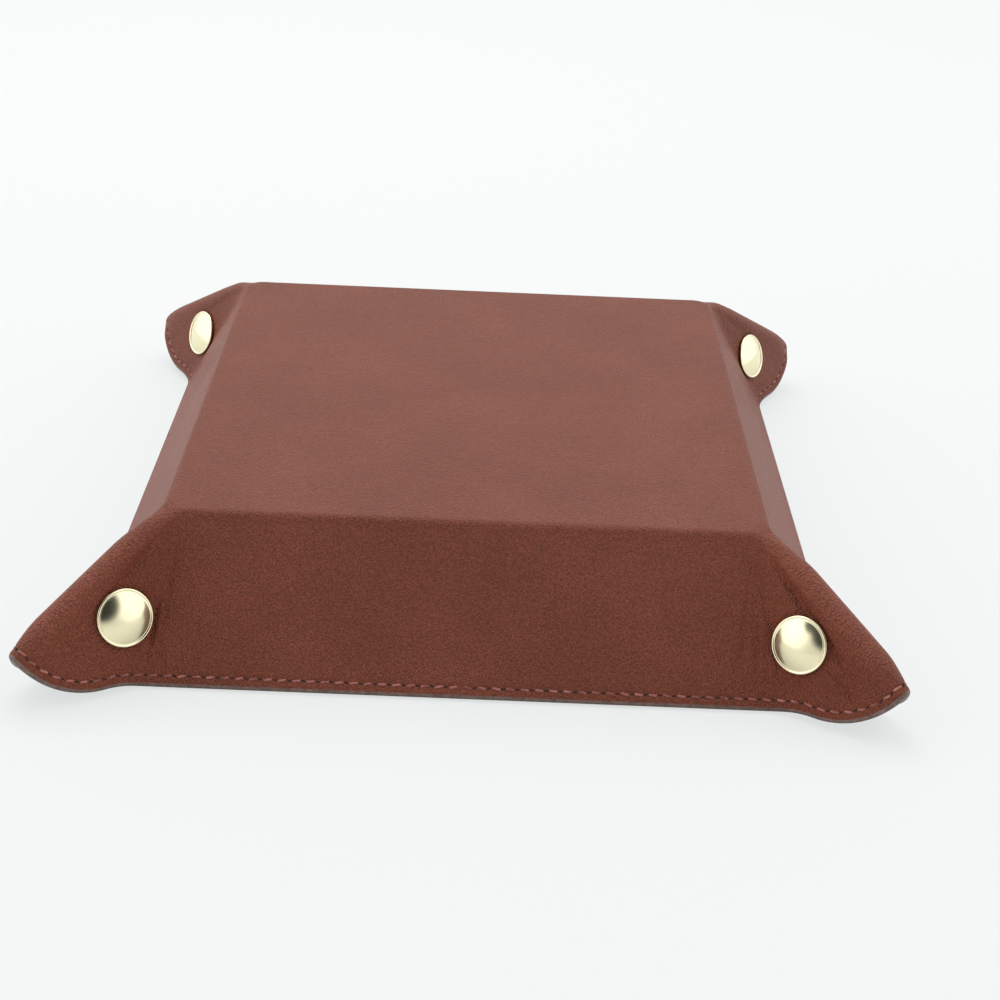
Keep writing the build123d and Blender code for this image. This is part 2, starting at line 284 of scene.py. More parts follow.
# The leather's relief: how its face stands over the smooth rule. The fold bulges, a valley runs beside
# it, the seam pulls a groove in, the snap cap sits in a dip, and each corner has wrinkles of its own.
ridge_angle = math.radians(7)
ridge_bulge = 0.0011
valley_angle = math.radians(9)
valley_spread = math.radians(3.2)
valley_depth = 0.0006
ridge_share = {"front_left": 0.8, "front_right": 1.0, "back_left": 0.25, "back_right": 0.35}
ridge_rises = (0.006, 0.018)
ridge_fades = (0.044, 0.054)
least_along = 0.001
tip_press_start = 0.047
tip_press_depth = 0.0015
tip_press_width = 0.007
seam_from_rim = 0.0029
seam_dip_depth = 0.00022
seam_dip_width = 0.0006
cap_dip_depth = 0.0003
cap_dip_width = 0.0006


def ridge_relief(corner, x, y):
    along, inward = ear_coordinates(x, y)
    on_ear = smooth_step(*ridge_rises, along) * (1 - smooth_step(*ridge_fades, along))
    width = np.maximum(along, least_along) * math.tan(ridge_angle)
    bulge = ridge_bulge * (1 - smooth_step(0, 1, inward / width))
    turn = np.arctan2(inward, np.maximum(along, least_along))
    valley = valley_depth * np.exp(-(((turn - valley_angle) / valley_spread) ** 2))
    tip_share = np.clip((along - tip_press_start) / (tip_reach - tip_press_start), 0, 1)
    near_fold = 1 - smooth_step(0, tip_press_width, inward)
    tip_press = tip_press_depth * (1 - np.sqrt(1 - tip_share**2)) * near_fold
    return ridge_share[corner] * on_ear * (bulge - valley) - tip_press


def seam_relief(x, y):
    return -seam_dip_depth * np.exp(-(((rim_distance(x, y) - seam_from_rim) / seam_dip_width) ** 2))


def cap_relief(x, y):
    return -cap_dip_depth * np.exp(-(((cap_distance(x, y) - cap_radius) / cap_dip_width) ** 2))


def line_wrinkle(start_angle, start_reach, end_angle, end_reach, depth, width):
    """A straight wrinkle between two points given by sheet angle and reach from the crease's start."""
    ends = []
    for angle, reach in ((start_angle, start_reach), (end_angle, end_reach)):
        turn = math.radians(angle)
        ends.append((crease_start + reach * math.cos(turn), -reach * math.sin(turn)))
    return np.array(ends[0]), np.array(ends[1]), depth, width


fan_starts = (0.010, 0.022)
fan_lengths = (0.012, 0.024)
fan_turns = (-3, 3)
fan_widths = (0.0005, 0.0009)
fan_depth_shares = (0.4, 1)


def fan_wrinkles(count, low_angle, high_angle, depth):
    """Fine wrinkles that fan out across the crease between a wall and its ear."""
    found = []
    for _ in range(count):
        angle = rng.uniform(low_angle, high_angle)
        start = rng.uniform(*fan_starts)
        end = start + rng.uniform(*fan_lengths)
        turned = angle + rng.uniform(*fan_turns)
        width = rng.uniform(*fan_widths)
        found.append(line_wrinkle(angle, start, turned, end, depth * rng.uniform(*fan_depth_shares), width))
    return found


wrinkle_rim_fade = (0.001, 0.004)
wrinkles = {
    "front_left": [
        line_wrinkle(101, 0.016, 100, 0.043, 0.0004, 0.0009),
        line_wrinkle(104, 0.014, 104, 0.042, 0.0003, 0.0008),
        line_wrinkle(97, 0.018, 96, 0.042, 0.00024, 0.0008),
    ]
    + fan_wrinkles(12, 90, 108, 0.00014),
    "front_right": [
        line_wrinkle(126, 0.008, 128, 0.053, 0.0007, 0.0011),
        line_wrinkle(121, 0.036, 124.5, 0.052, 0.0006, 0.0008),
        line_wrinkle(118, 0.040, 121, 0.050, 0.0003, 0.0007),
        line_wrinkle(99, 0.012, 103, 0.044, 0.00036, 0.0009),
    ]
    + fan_wrinkles(22, 87, 107, 0.0002),
    "back_left": fan_wrinkles(6, 92, 106, 0.0001),
    "back_right": fan_wrinkles(6, 92, 106, 0.0001),
}


def wrinkle_relief(corner, x, y):
    near, far = np.maximum(x, y), np.minimum(x, y)
    points = np.stack([near, far], -1)
    height = np.zeros(x.shape)
    for start, end, depth, width in wrinkles[corner]:
        length = np.linalg.norm(end - start)
        direction = (end - start) / length
        run = (points - start) @ direction
        off = (points - start) @ np.array([-direction[1], direction[0]])
        fade = smooth_step(0, length / 3, run) * smooth_step(0, length / 3, length - run)
        height -= depth * fade * np.exp(-((off / width) ** 2))
    return height * smooth_step(*wrinkle_rim_fade, rim_distance(x, y))


def relief(corner, x, y):
    """Height of the leather's face over the smooth rule, nothing under a snap cap."""
    free = smooth_step(cap_radius - cap_dip_width, cap_radius + cap_dip_width, cap_distance(x, y))
    loose = ridge_relief(corner, x, y) + wrinkle_relief(corner, x, y)
    return free * loose + seam_relief(x, y) + cap_relief(x, y)


def raised(corner, patch):
    """Place and normal of the leather's face with its relief."""
    x, y = patch["flat"][..., 0], patch["flat"][..., 1]
    step = difference_step
    slope_x = (relief(corner, x + step, y) - relief(corner, x - step, y)) / (2 * step)
    slope_y = (relief(corner, x, y + step) - relief(corner, x, y - step)) / (2 * step)
    place = patch["place"] + relief(corner, x, y)[..., None] * patch["normal"]
    normal = patch["normal"] - slope_x[..., None] * patch["across"] - slope_y[..., None] * patch["along"]
    return place, each_unit(normal)


# The grid of one half of a wall with its ear half. Columns run from the base edge to the rim: straight
# ones on the wall, a fan from the crease's start on the ear, and a narrow band over the fold.
fan_start_angle = math.radians(88)
wall_columns = 30
flank_columns = 84
ridge_columns = 14
fold_columns = 9
base_rows = 10
base_border = 0.009
base_border_columns = 6
bend_reach = 0.013
rim_steps = np.array([56, 45, 38, 34, 31, 29, 27, 24, 20, 15, 10]) / 10000
wall_rows = 46
row_crowding = 1.25


def rim_meeting(turn):
    """Where a line from the crease's start, at this angle to the fold, meets the ear's rim."""
    direction = np.array([math.cos(turn), math.sin(turn)])
    if turn > math.atan2(sweep_start[1], sweep_start[0]):
        return direction * rim_reach / (direction[0] + direction[1]), rim_outward_dir
    on_tip = turn < math.atan2(sweep_end[1], sweep_end[0])
    centre = tip_centre if on_tip else sweep_centre
    radius = tip_radius if on_tip else rim_sweep_radius
    middle = direction @ centre
    half_chord = math.sqrt(middle**2 - centre @ centre + radius**2)
    point = direction * (middle + half_chord if on_tip else middle - half_chord)
    outward = (point - centre) / radius
    return point, outward if on_tip else -outward


def half_columns(edge_length):
    """Start, end and outward direction of every column, from the wall's middle to the diagonal."""
    middle = edge_length / 2
    outward = [0.0, -1.0]
    fan_rim = crease_start + wall_width / math.tan(fan_start_angle)
    border = np.linspace(crease_start, base_border, base_border_columns)
    rest = np.linspace(base_border, middle, wall_columns)[1:]
    starts, ends, outwards = [], [], []
    for q in np.concatenate([border, rest])[::-1]:
        share = (q - crease_start) / (middle - crease_start)
        starts.append([q, 0.0])
        ends.append([fan_rim + share * (middle - fan_rim), -wall_width])
        outwards.append(outward)
    flank_turns = np.linspace(diagonal_angle - fan_start_angle, ridge_angle, flank_columns + 1)[1:]
    ridge_turns = np.linspace(ridge_angle, 0, ridge_columns + 1)[1:]
    for turn in np.concatenate([flank_turns, ridge_turns]):
        point, direction = rim_meeting(turn)
        starts.append([crease_start, 0.0])
        ends.append(sheet_point(*point))
        outwards.append(sheet_vector(*direction))
    for share in np.linspace(0, 1, fold_columns + 1)[1:]:
        starts.append(sheet_point(0, -share * half_fold))
        ends.append(sheet_point(tip_reach, -share * half_fold))
        outwards.append(sheet_vector(1, 0))
    return np.array(starts), np.array(ends), np.array(outwards)


wall_count = wall_columns + base_border_columns - 1
flank_count = wall_count + flank_columns


def half_grid(edge_length):
    """Flat points of the half's grid, rows from the base edge to the edge paint."""
    starts, ends, outwards = half_columns(edge_length)
    lengths = np.linalg.norm(ends - starts, axis=1)
    squareness = np.sum((ends - starts) * outwards, axis=1) / lengths
    rows = []
    for share in np.linspace(0, 1, wall_rows)[:-1] ** row_crowding:
        rows.append(share * (1 - rim_steps[0] / squareness / lengths))
    for step in rim_steps:
        rows.append(1 - step / squareness / lengths)
    return starts[None] + np.array(rows)[..., None] * (ends - starts)[None]


def rim_line(edge_length, from_rim):
    """Flat points at one distance from the rim, one on each column."""
    starts, ends, outwards = half_columns(edge_length)
    directions = each_unit(ends - starts)
    squareness = np.sum(directions * outwards, axis=1)
    return ends - directions * (from_rim / squareness)[:, None]


def rim_distance(x, y):
    """Distance of a flat point near one corner from the sheet's rim."""
    along, inward = ear_coordinates(x, y)
    from_tip = np.hypot(along - tip_centre[0], inward)
    from_sweep = np.hypot(along - sweep_centre[0], inward - sweep_centre[1])
    tip_angle = np.arctan2(inward, along - tip_centre[0])
    sweep_angle = np.arctan2(sweep_centre[1] - inward, sweep_centre[0] - along)
    distance = np.minimum(x, y) + wall_width
    in_sweep = (sweep_angle > math.pi / 4) & (sweep_angle < tip_turn)
    distance = np.where(in_sweep, from_sweep - rim_sweep_radius, distance)
    distance = np.where((tip_angle < tip_turn) & (inward >= 0), tip_radius - from_tip, distance)
    return np.where((inward < 0) & (along > 0), tip_reach - along, distance)


def base_strip(edge_length):
    """Flat points of the base's border below this half, from inside to the edge."""
    starts = half_columns(edge_length)[0][:wall_count]
    inner = []
    for q in starts[:, 0]:
        share = (q - crease_start) / (base_border - crease_start)
        on_slope = crease_start / 2 + share * (base_border - crease_start / 2)
        inner.append((q, base_border) if q >= base_border else (on_slope, on_slope))
    shares = np.linspace(1, 0, base_rows + 1)
    return starts[None] + shares[:, None, None] * (np.array(inner) - starts)[None]


# Placing a half at one of the eight places round the tray.
halves = []
for corner, mirror_x, mirror_y in (
    ("front_left", 1, 1),
    ("front_right", -1, 1),
    ("back_left", 1, -1),
    ("back_right", -1, -1),
):
    for owner in ("end", "side"):
        end_wall, side_wall = corner.split("_")
        halves.append(
            {
                "corner": corner,
                "owner": owner,
                "signs": np.array([mirror_x, mirror_y, 1.0]),
                "wall": end_wall if owner == "end" else side_wall,
                "length": base_width if owner == "end" else base_depth,
            }
        )
corner_point = np.array([-base_width / 2, -base_depth / 2, base_height])


def place(half, points):
    """Carry points of the canonical half to its place round the tray."""
    if half["owner"] == "side":
        points = points[..., [1, 0, 2]]
    return (points + corner_point) * half["signs"]


def place_direction(half, directions):
    if half["owner"] == "side":
        directions = directions[..., [1, 0, 2]]
    return directions * half["signs"]


def flipped(half):
    """True where the placement turns faces inside out."""
    swaps = 1 if half["owner"] == "side" else 0
    mirrored = int(half["signs"][0] < 0) + int(half["signs"][1] < 0) + swaps
    return mirrored % 2 == 1


weld_distance = 1e-7


class Surface:
    """Gathers grids of points, normals and sheet coordinates into one mesh."""

    def __init__(self):
        self.points, self.normals, self.sheet, self.faces = [], [], [], []
        self.count = 0

    def add_grid(self, points, normals, sheet, turned_over):
        rows, columns = points.shape[:2]
        index = self.count + np.arange(rows * columns).reshape(rows, columns)
        corners = [index[:-1, :-1], index[:-1, 1:], index[1:, 1:], index[1:, :-1]]
        quads = np.stack(corners, -1).reshape(-1, 4)
        if turned_over:
            quads = quads[:, ::-1]
        self.faces.extend(quads.tolist())
        self.points.append(points.reshape(-1, 3))
        self.normals.append(normals.reshape(-1, 3))
        self.sheet.append(sheet.reshape(-1, 2))
        self.count += rows * columns

    def build(self, name, material):
        points = np.concatenate(self.points)
        normals = np.concatenate(self.normals)
        sheet = np.concatenate(self.sheet)
        keys = np.round(points / weld_distance).astype(np.int64)
        _, first, inverse = np.unique(keys, axis=0, return_index=True, return_inverse=True)
        inverse = inverse.reshape(-1).tolist()
        faces, corners = [], []
        for face in self.faces:
            merged = {}
            for corner in face:
                merged.setdefault(inverse[corner], corner)
            if len(merged) >= 3:
                faces.append(list(merged))
                corners.extend(merged.values())
        mesh = smooth_mesh(name, points[first], faces, [material])
        layer = mesh.uv_layers.new(name="sheet")
        layer.data.foreach_set("uv", sheet[corners].astype(np.float32).ravel())
        mesh.normals_split_custom_set(normals[corners].tolist())
        return new_object(name, mesh)


def smooth_mesh(name, points, faces, materials):
    mesh = bpy.data.meshes.new(name)
    mesh.from_pydata(points.tolist(), [], faces)
    mesh.polygons.foreach_set("use_smooth", [True] * len(faces))
    for material in materials:
        mesh.materials.append(material)
    return mesh


def new_object(name, mesh):
    obj = bpy.data.objects.new(name, mesh)
    bpy.context.scene.collection.objects.link(obj)
    return obj


# Materials
def node_material(name):
    material = bpy.data.materials.new(name)
    material.use_nodes = True
    nodes = material.node_tree.nodes
    return material, nodes, material.node_tree.links, nodes["Principled BSDF"]


def sheet_position(nodes, links):
    """The flat sheet's own coordinates, in metres, so that grain doesn't stretch over folds."""
    uv = nodes.new("ShaderNodeUVMap")
    uv.uv_map = "sheet"
    return uv.outputs["UV"]


def noise(nodes, links, position, scale, detail=3.0, roughness=0.55):
    node = nodes.new("ShaderNodeTexNoise")
    node.inputs["Scale"].default_value = scale
    node.inputs["Detail"].default_value = detail
    node.inputs["Roughness"].default_value = roughness
    links.new(position, node.inputs["Vector"])
    return node.outputs["Fac"]


def ramp(nodes, links, value, stops):
    node = nodes.new("ShaderNodeValToRGB")
    while len(node.color_ramp.elements) < len(stops):
        node.color_ramp.elements.new(1 / 2)
    for element, (where, colour) in zip(node.color_ramp.elements, stops):
        element.position = where
        element.color = (*colour, 1)
    links.new(value, node.inputs["Fac"])
    return node.outputs["Color"]


def bump(nodes, links, height, strength, distance, before=None):
    node = nodes.new("ShaderNodeBump")
    node.inputs["Strength"].default_value = strength
    node.inputs["Distance"].default_value = distance
    links.new(height, node.inputs["Height"])
    if before is not None:
        links.new(before, node.inputs["Normal"])
    return node.outputs["Normal"]


pebble_scale = 2300
soft_scale = 420
pore_scale = 5200
drift_scale = 26
drift_stops = (0.38, 0.5, 0.64)
pebble_light = (1.36, 1.36, 1.36)
pebble_dark = (0.56, 0.52, 0.5)
pebble_edge = 0.65
pebble_mix = 0.75
soft_depth = 0.0003
pore_depth = 0.00005
dull_share, bright_share = 1.12, 0.9


def set_roughness(nodes, links, shader, value, low, high):
    """Let the roughness follow a noise between two levels."""
    level = nodes.new("ShaderNodeMapRange")
    level.inputs["To Min"].default_value = low
    level.inputs["To Max"].default_value = high
    links.new(value, level.inputs["Value"])
    links.new(level.outputs["Result"], shader.inputs["Roughness"])


def leather_material(name, tones, grain_depth, roughness):
    """Leather: a fine pebble grain with pores, in a colour that drifts slowly over the hide."""
    material, nodes, links, shader = node_material(name)
    position = sheet_position(nodes, links)
    cells = nodes.new("ShaderNodeTexVoronoi")
    cells.feature = "SMOOTH_F1"
    cells.inputs["Scale"].default_value = pebble_scale
    cells.inputs["Smoothness"].default_value = 0.5
    cells.inputs["Randomness"].default_value = 1.0
    links.new(position, cells.inputs["Vector"])
    pebbles = cells.outputs["Distance"]
    soft = noise(nodes, links, position, soft_scale, 4.0)
    pores = noise(nodes, links, position, pore_scale, 2.0)
    drift = noise(nodes, links, position, drift_scale, 5.0)
    colour = ramp(nodes, links, drift, list(zip(drift_stops, tones)))
    pebble_tone = ramp(nodes, links, pebbles, [(0.0, pebble_light), (pebble_edge, pebble_dark)])
    mottled = nodes.new("ShaderNodeMix")
    mottled.data_type = "RGBA"
    mottled.blend_type = "MULTIPLY"
    mottled.inputs["Factor"].default_value = pebble_mix
    links.new(colour, mottled.inputs[6])
    links.new(pebble_tone, mottled.inputs[7])
    links.new(mottled.outputs[2], shader.inputs["Base Color"])
    inverted = nodes.new("ShaderNodeMath")
    inverted.operation = "SUBTRACT"
    inverted.inputs[0].default_value = 1.0
    links.new(pebbles, inverted.inputs[1])
    first = bump(nodes, links, soft, 0.5, soft_depth)
    second = bump(nodes, links, inverted.outputs[0], 0.9, grain_depth, first)
    third = bump(nodes, links, pores, 0.3, pore_depth, second)
    links.new(third, shader.inputs["Normal"])
    set_roughness(nodes, links, shader, soft, roughness * bright_share, roughness * dull_share)
    shader.inputs["Specular IOR Level"].default_value = 0.2
    return material


def edge_material():
    """Painted and rubbed edge, grey brown, with streaks along it."""
    material, nodes, links, shader = node_material("edge_paint")
    position = sheet_position(nodes, links)
    streaks = noise(nodes, links, position, 700, 4.0)
    colour = ramp(nodes, links, streaks, [(0.35, (0.085, 0.05, 0.038)), (0.7, (0.17, 0.11, 0.09))])
    links.new(colour, shader.inputs["Base Color"])
    links.new(bump(nodes, links, streaks, 0.4, 0.0002), shader.inputs["Normal"])
    shader.inputs["Roughness"].default_value = 0.45
    return material


def thread_material():
    """Waxed dark red thread, some stitches lighter than others."""
    material, nodes, links, shader = node_material("thread")
    position = nodes.new("ShaderNodeTexCoord").outputs["Object"]
    fibres = noise(nodes, links, position, 6000, 2.0)
    tone = noise(nodes, links, position, 260, 2.0)
    colour = ramp(nodes, links, tone, [(0.36, (0.17, 0.045, 0.03)), (0.64, (0.36, 0.13, 0.10))])
    links.new(colour, shader.inputs["Base Color"])
    links.new(bump(nodes, links, fibres, 0.6, 0.0001), shader.inputs["Normal"])
    shader.inputs["Roughness"].default_value = 0.6
    return material


def hole_shade_material():
    """Painted shade: the dark that falls into a needle hole, put on a flat mark, with a little of the
    leather's colour.
    """
    material, nodes, links, shader = node_material("needle_hole_shade")
    position = nodes.new("ShaderNodeTexCoord").outputs["Object"]
    tone = noise(nodes, links, position, 900, 2.0)
    colour = ramp(nodes, links, tone, [(0.3, (0.010, 0.004, 0.003)), (0.7, (0.035, 0.011, 0.008))])
    links.new(colour, shader.inputs["Base Color"])
    shader.inputs["Roughness"].default_value = 0.9
    return material


polished_share, worn_share = 0.7, 1.5


def gold_material(name, colour, roughness):
    """Polished plating with faint wear that dulls it in places."""
    material, nodes, links, shader = node_material(name)
    position = nodes.new("ShaderNodeTexCoord").outputs["Object"]
    wear = noise(nodes, links, position, 500, 4.0)
    shader.inputs["Base Color"].default_value = (*colour, 1)
    shader.inputs["Metallic"].default_value = 1.0
    set_roughness(nodes, links, shader, wear, roughness * polished_share, roughness * worn_share)
    return material


leather_tones = ((0.19, 0.049, 0.024), (0.204, 0.053, 0.027), (0.22, 0.059, 0.031))
leather_grain_depth = 0.0006
leather_roughness = 0.48
lining_tones = ((0.07, 0.03, 0.02), (0.085, 0.036, 0.026), (0.10, 0.045, 0.032))
lining_grain_depth = 0.00004
lining_roughness = 0.6
leather = leather_material("leather", leather_tones, leather_grain_depth, leather_roughness)
lining = leather_material("lining", lining_tones, lining_grain_depth, lining_roughness)
edge_paint = edge_material()
thread = thread_material()
# The needle holes are flat marks painted with the shade inside a hole.
needle_hole_shade = hole_shade_material()
cap_gold = gold_material("snap_cap_gold", (0.72, 0.67, 0.45), 0.17)
inner_gold = gold_material("snap_inner_gold", (0.72, 0.62, 0.42), 0.28)


# The leather and the lining, in pieces that each follow one body or lie over a fold between two.
board_margin_hinge = 0.005
board_margin_rim = 0.009
board_margin_crease = 0.005
base_board_margin = 0.0055
wall_board_depth = 0.001
base_board_depth = 0.002
wall_pad_slope = (-0.0016, 0.0004)
base_pad_slope = (-0.002, 0.0005)


def pad_depth(x, y):
    """How far the lining stands inwards over the stiffening boards."""
    low = np.minimum(x, y)
    near = np.maximum(x, y)
    down = -low
    lean = math.tan(crease_angle - math.pi / 2)
    inside_wall = np.minimum(down - board_margin_hinge, wall_width - board_margin_rim - down)
    inside_wall = np.minimum(inside_wall, near - crease_start - board_margin_crease + down * lean)
    wall_pad = wall_board_depth * smooth_step(*wall_pad_slope, inside_wall)
    base_pad = base_board_depth * smooth_step(*base_pad_slope, low - base_board_margin)
    return np.where(low < 0, wall_pad, base_pad)


def sheet_coordinates(half, flat):
    """Sheet coordinates that differ from corner to corner, so that no two carry the same grain."""
    flat = flat if half["owner"] == "end" else flat[..., ::-1]
    return (flat + corner_point[:2]) * half["signs"][:2]


def add_patch(surface, half, patch, inner):
    """Add one side of a measured grid: the leather with its relief, or the lining over its boards."""
    if inner:
        depth = laminate + pad_depth(patch["flat"][..., 0], patch["flat"][..., 1])
        points = patch["place"] - depth[..., None] * patch["normal"]
        normals = -patch["normal"]
    else:
        points, normals = raised(half["corner"], patch)
    sheet = sheet_coordinates(half, patch["flat"])
    surface.add_grid(place(half, points), place_direction(half, normals), sheet, flipped(half) != inner)


edge_round_steps = 7


def edge_profile():
    """Distance from the rim, depth below the leather's face, and tilt of the normal, round the edge."""
    profile = []
    for turn in np.linspace(0, math.pi / 2, edge_round_steps):
        profile.append((rim_round * (1 - math.sin(turn)), rim_round * (1 - math.cos(turn)), turn))
    for turn in np.linspace(math.pi / 2, math.pi, edge_round_steps):
        depth = laminate - rim_round * (1 + math.cos(turn))
        profile.append((rim_round * (1 - math.sin(turn)), depth, turn))
    return profile


def add_edge(surface, half, columns):
    """The painted edge over these columns of the rim."""
    points, normals, sheets = [], [], []
    for turn, depth, rows in edge_rows[half["length"]]:
        patch = {key: value[columns] for key, value in rows.items()}
        face, face_normal = raised(half["corner"], patch)
        points.append(face - depth * patch["normal"])
        outward = rim_dirs[half["length"]][columns]
        normals.append(math.cos(turn) * patch["normal"] + math.sin(turn) * outward)
        sheets.append(sheet_coordinates(half, patch["flat"]))
    points = place(half, np.array(points))
    normals = place_direction(half, np.array(normals))
    surface.add_grid(points, normals, np.array(sheets), flipped(half))


# Stitches along the seam: each is a short slanted thread between two needle holes, which are flat marks of
# painted shade.
stitch_pitch = 0.0036
stitch_length = 0.0026
stitch_width = 0.0007
stitch_height = 0.0005
stitch_slant = math.radians(9)
slant_spread = 0.04
heading_step = 0.0002
thread_end_girth = 0.08
stitch_rings = 9
stitch_around = 8
hole_length = 0.0015
hole_width = 0.0007
hole_lift = 0.00004
hole_slant = math.radians(-38)
hole_around = 10


def thread_shape():
    """Points and faces of one stitch: a rounded thread whose ends dive into the leather."""
    points, faces = [], []
    for i in range(stitch_rings):
        t = i / (stitch_rings - 1) * 2 - 1
        girth = math.sqrt(max(1 - t**4, thread_end_girth))
        for j in range(stitch_around):
            turn = 2 * math.pi * j / stitch_around
            across = girth * math.cos(turn) * stitch_width / 2
            up = (girth * math.sin(turn) - t**4) * stitch_height / 2
            points.append((t * stitch_length / 2, across, up))
    for i in range(stitch_rings - 1):
        a, b = i * stitch_around, (i + 1) * stitch_around
        for j in range(stitch_around):
            k = (j + 1) % stitch_around
            faces.append([a + j, a + k, b + k, b + j])
    faces.append(list(range(stitch_around))[::-1])
    faces.append([(stitch_rings - 1) * stitch_around + j for j in range(stitch_around)])
    return np.array(points), faces


def hole_shape():
    """Points and faces of the flat slanted mark, painted with a needle hole's shade, between two stitches.
    """
    points = []
    for j in range(hole_around):
        turn = 2 * math.pi * j / hole_around
        long_way = math.cos(turn) * hole_length / 2
        short_way = math.sin(turn) * hole_width / 2
        x = math.cos(hole_slant) * long_way - math.sin(hole_slant) * short_way
        y = math.sin(hole_slant) * long_way + math.cos(hole_slant) * short_way
        points.append((x + stitch_pitch / 2, y, hole_lift))
    return np.array(points), [list(range(hole_around))]


def seam_run(length):
    """Measured points at the middle of every stitch and every hole of a half, with their columns."""
    flat = rim_line(length, seam_from_rim)
    run = np.concatenate([[0], np.cumsum(np.linalg.norm(np.diff(flat, axis=0), axis=1))])
    count = int(round(run[-1] / stitch_pitch))
    found = {}
    for kind, offset in (("thread", 1 / 2), ("hole", 1)):
        at = (np.arange(count) + offset) * run[-1] / count
        spots, ahead, behind = (
            np.stack([np.interp(at + step, run, flat[:, i]) for i in (0, 1)], -1)
            for step in (0, heading_step, -heading_step)
        )
        columns = np.interp(at, run, np.arange(len(run)))
        found[kind] = (measured(spots), each_unit(ahead - behind), columns)
    return found


def stitch_mesh(name, halves_used, inner, first, last):
    """One mesh of the stitches whose columns lie between first and last."""
    points, faces, kinds = [], [], []
    count = 0
    for half in halves_used:
        for kind, (shape, shape_faces) in (("thread", thread_shape()), ("hole", hole_shape())):
            patch, headings, columns = seams[half["length"]][kind]
            chosen = (columns > first) & (columns <= last)
            patch = {key: value[chosen] for key, value in patch.items()}
            headings = headings[chosen]
            face, _ = raised(half["corner"], patch)
            normal = patch["normal"]
            along = each_unit(headings[:, :1] * patch["across"] + headings[:, 1:] * patch["along"])
            side = np.cross(normal, along)
            if inner:
                face = patch["place"] - laminate * normal
                normal = -normal
            lean = stitch_slant if kind == "thread" else 0
            slant = rng.normal(lean, slant_spread, len(face))[:, None]
            turned = np.cos(slant) * along + np.sin(slant) * side
            turned_side = np.cos(slant) * side - np.sin(slant) * along
            local = (
                face[:, None]
                + shape[None, :, :1] * turned[:, None]
                + shape[None, :, 1:2] * turned_side[:, None]
                + shape[None, :, 2:] * normal[:, None]
            )
            if kind == "hole":
                local -= along[:, None] * stitch_pitch / 2
            turned_over = flipped(half) != inner
            for _ in range(len(face)):
                for shape_face in shape_faces:
                    order = shape_face[::-1] if turned_over else shape_face
                    faces.append([count + v for v in order])
                    kinds.append(0 if kind == "thread" else 1)
                count += len(shape)
            points.append(place(half, local.reshape(-1, 3)))
    mesh = smooth_mesh(name, np.concatenate(points), faces, [thread, needle_hole_shade])
    mesh.polygons.foreach_set("material_index", kinds)
    return new_object(name, mesh)


# Everything below is measured once for each length of edge, and used by four halves each.
grids, strips, edge_rows, rim_dirs, seams = {}, {}, {}, {}, {}
for length in (base_width, base_depth):
    grids[length] = measured(half_grid(length))
    strips[length] = measured(base_strip(length))
    edge_rows[length] = []
    for from_rim, depth, turn in edge_profile():
        edge_rows[length].append((turn, depth, measured(rim_line(length, from_rim))))
    at_rim = edge_rows[length][edge_round_steps - 1][2]
    outward = at_rim["place"] - measured(rim_line(length, rim_round))["place"]
    outward -= np.sum(outward * at_rim["normal"], axis=1, keepdims=True) * at_rim["normal"]
    rim_dirs[length] = each_unit(outward)
    seams[length] = seam_run(length)
bend_row = {
    length: int(np.argmin(np.abs(grids[length]["flat"][:, 0, 1] + bend_reach))) for length in grids
}

everything = slice(None)
both_faces = ((False, "leather", leather), (True, "lining", lining))
both_seams = ((False, "outer"), (True, "inner"))


def build_base():
    xs = half_columns(base_width)[0][:wall_count, 0]
    ys = half_columns(base_depth)[0][:wall_count, 0]
    inside = base_border - weld_distance
    patch = measured(np.stack(np.meshgrid(xs[xs >= inside], ys[ys >= inside]), -1))
    for inner, kind, material in both_faces:
        surface = Surface()
        for half in halves:
            if half["owner"] == "end":
                add_patch(surface, half, patch, inner)
        piece = surface.build("base_lining_face" if inner else "base_top_leather", material)
        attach(piece, "base")
        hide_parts("base_" + kind)
        if inner:
            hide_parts("base_board")


def build_walls():
    for wall in ("front", "back", "left", "right"):
        mine = [half for half in halves if half["wall"] == wall]
        length = mine[0]["length"]
        row = bend_row[length]
        body = wall + "_wall"
        for inner, kind, material in both_faces:
            bend, face = Surface(), Surface()
            for half in mine:
                add_patch(bend, half, strips[length], inner)
                add_patch(bend, half, cut(grids[length], slice(row + 1), slice(wall_count)), inner)
                add_patch(face, half, cut(grids[length], slice(row, None), slice(wall_count)), inner)
            bend_piece = bend.build(wall + "_fold_" + kind, material)
            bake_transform(bend_piece)
            face_piece = face.build(wall + "_wall_face_" + kind, material)
            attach(face_piece, body)
            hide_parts(wall + "_wall_" + kind)
            if inner:
                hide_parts(wall + "_wall_board")
        edge = Surface()
        for half in mine:
            add_edge(edge, half, slice(wall_count))
        edge_piece = edge.build(wall + "_edge_paint", edge_paint)
        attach(edge_piece, body)
        for inner, kind in both_seams:
            piece = stitch_mesh(wall + "_stitches_" + kind, mine, inner, -1, wall_count - 1)
            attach(piece, body)


def build_ears():
    for half in halves:
        body = half["corner"] + "_ear_" + half["owner"]
        grid = grids[half["length"]]
        first = wall_count - 1
        last = flank_count - 1
        for inner, kind, material in both_faces:
            flank, ridge = Surface(), Surface()
            add_patch(flank, half, cut(grid, everything, slice(first, last + 1)), inner)
            add_patch(ridge, half, cut(grid, everything, slice(last, None)), inner)
            flank_piece = flank.build(body + "_flank_" + kind, material)
            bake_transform(flank_piece)
            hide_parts(body + "_" + kind)
            ridge_piece = ridge.build(body + "_ridge_" + kind, material)
            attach(ridge_piece, body)
            if not inner:
                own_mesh(ridge_piece)
        for part, columns in (("flank", slice(first, last + 1)), ("ridge", slice(last, None))):
            edge = Surface()
            add_edge(edge, half, columns)
            piece = edge.build(body + "_" + part + "_edge_paint", edge_paint)
            if part == "flank":
                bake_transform(piece)
            else:
                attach(piece, body)
        for inner, kind in both_seams:
            piece = stitch_mesh(body + "_stitches_" + kind, [half], inner, first, np.inf)
            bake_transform(piece)


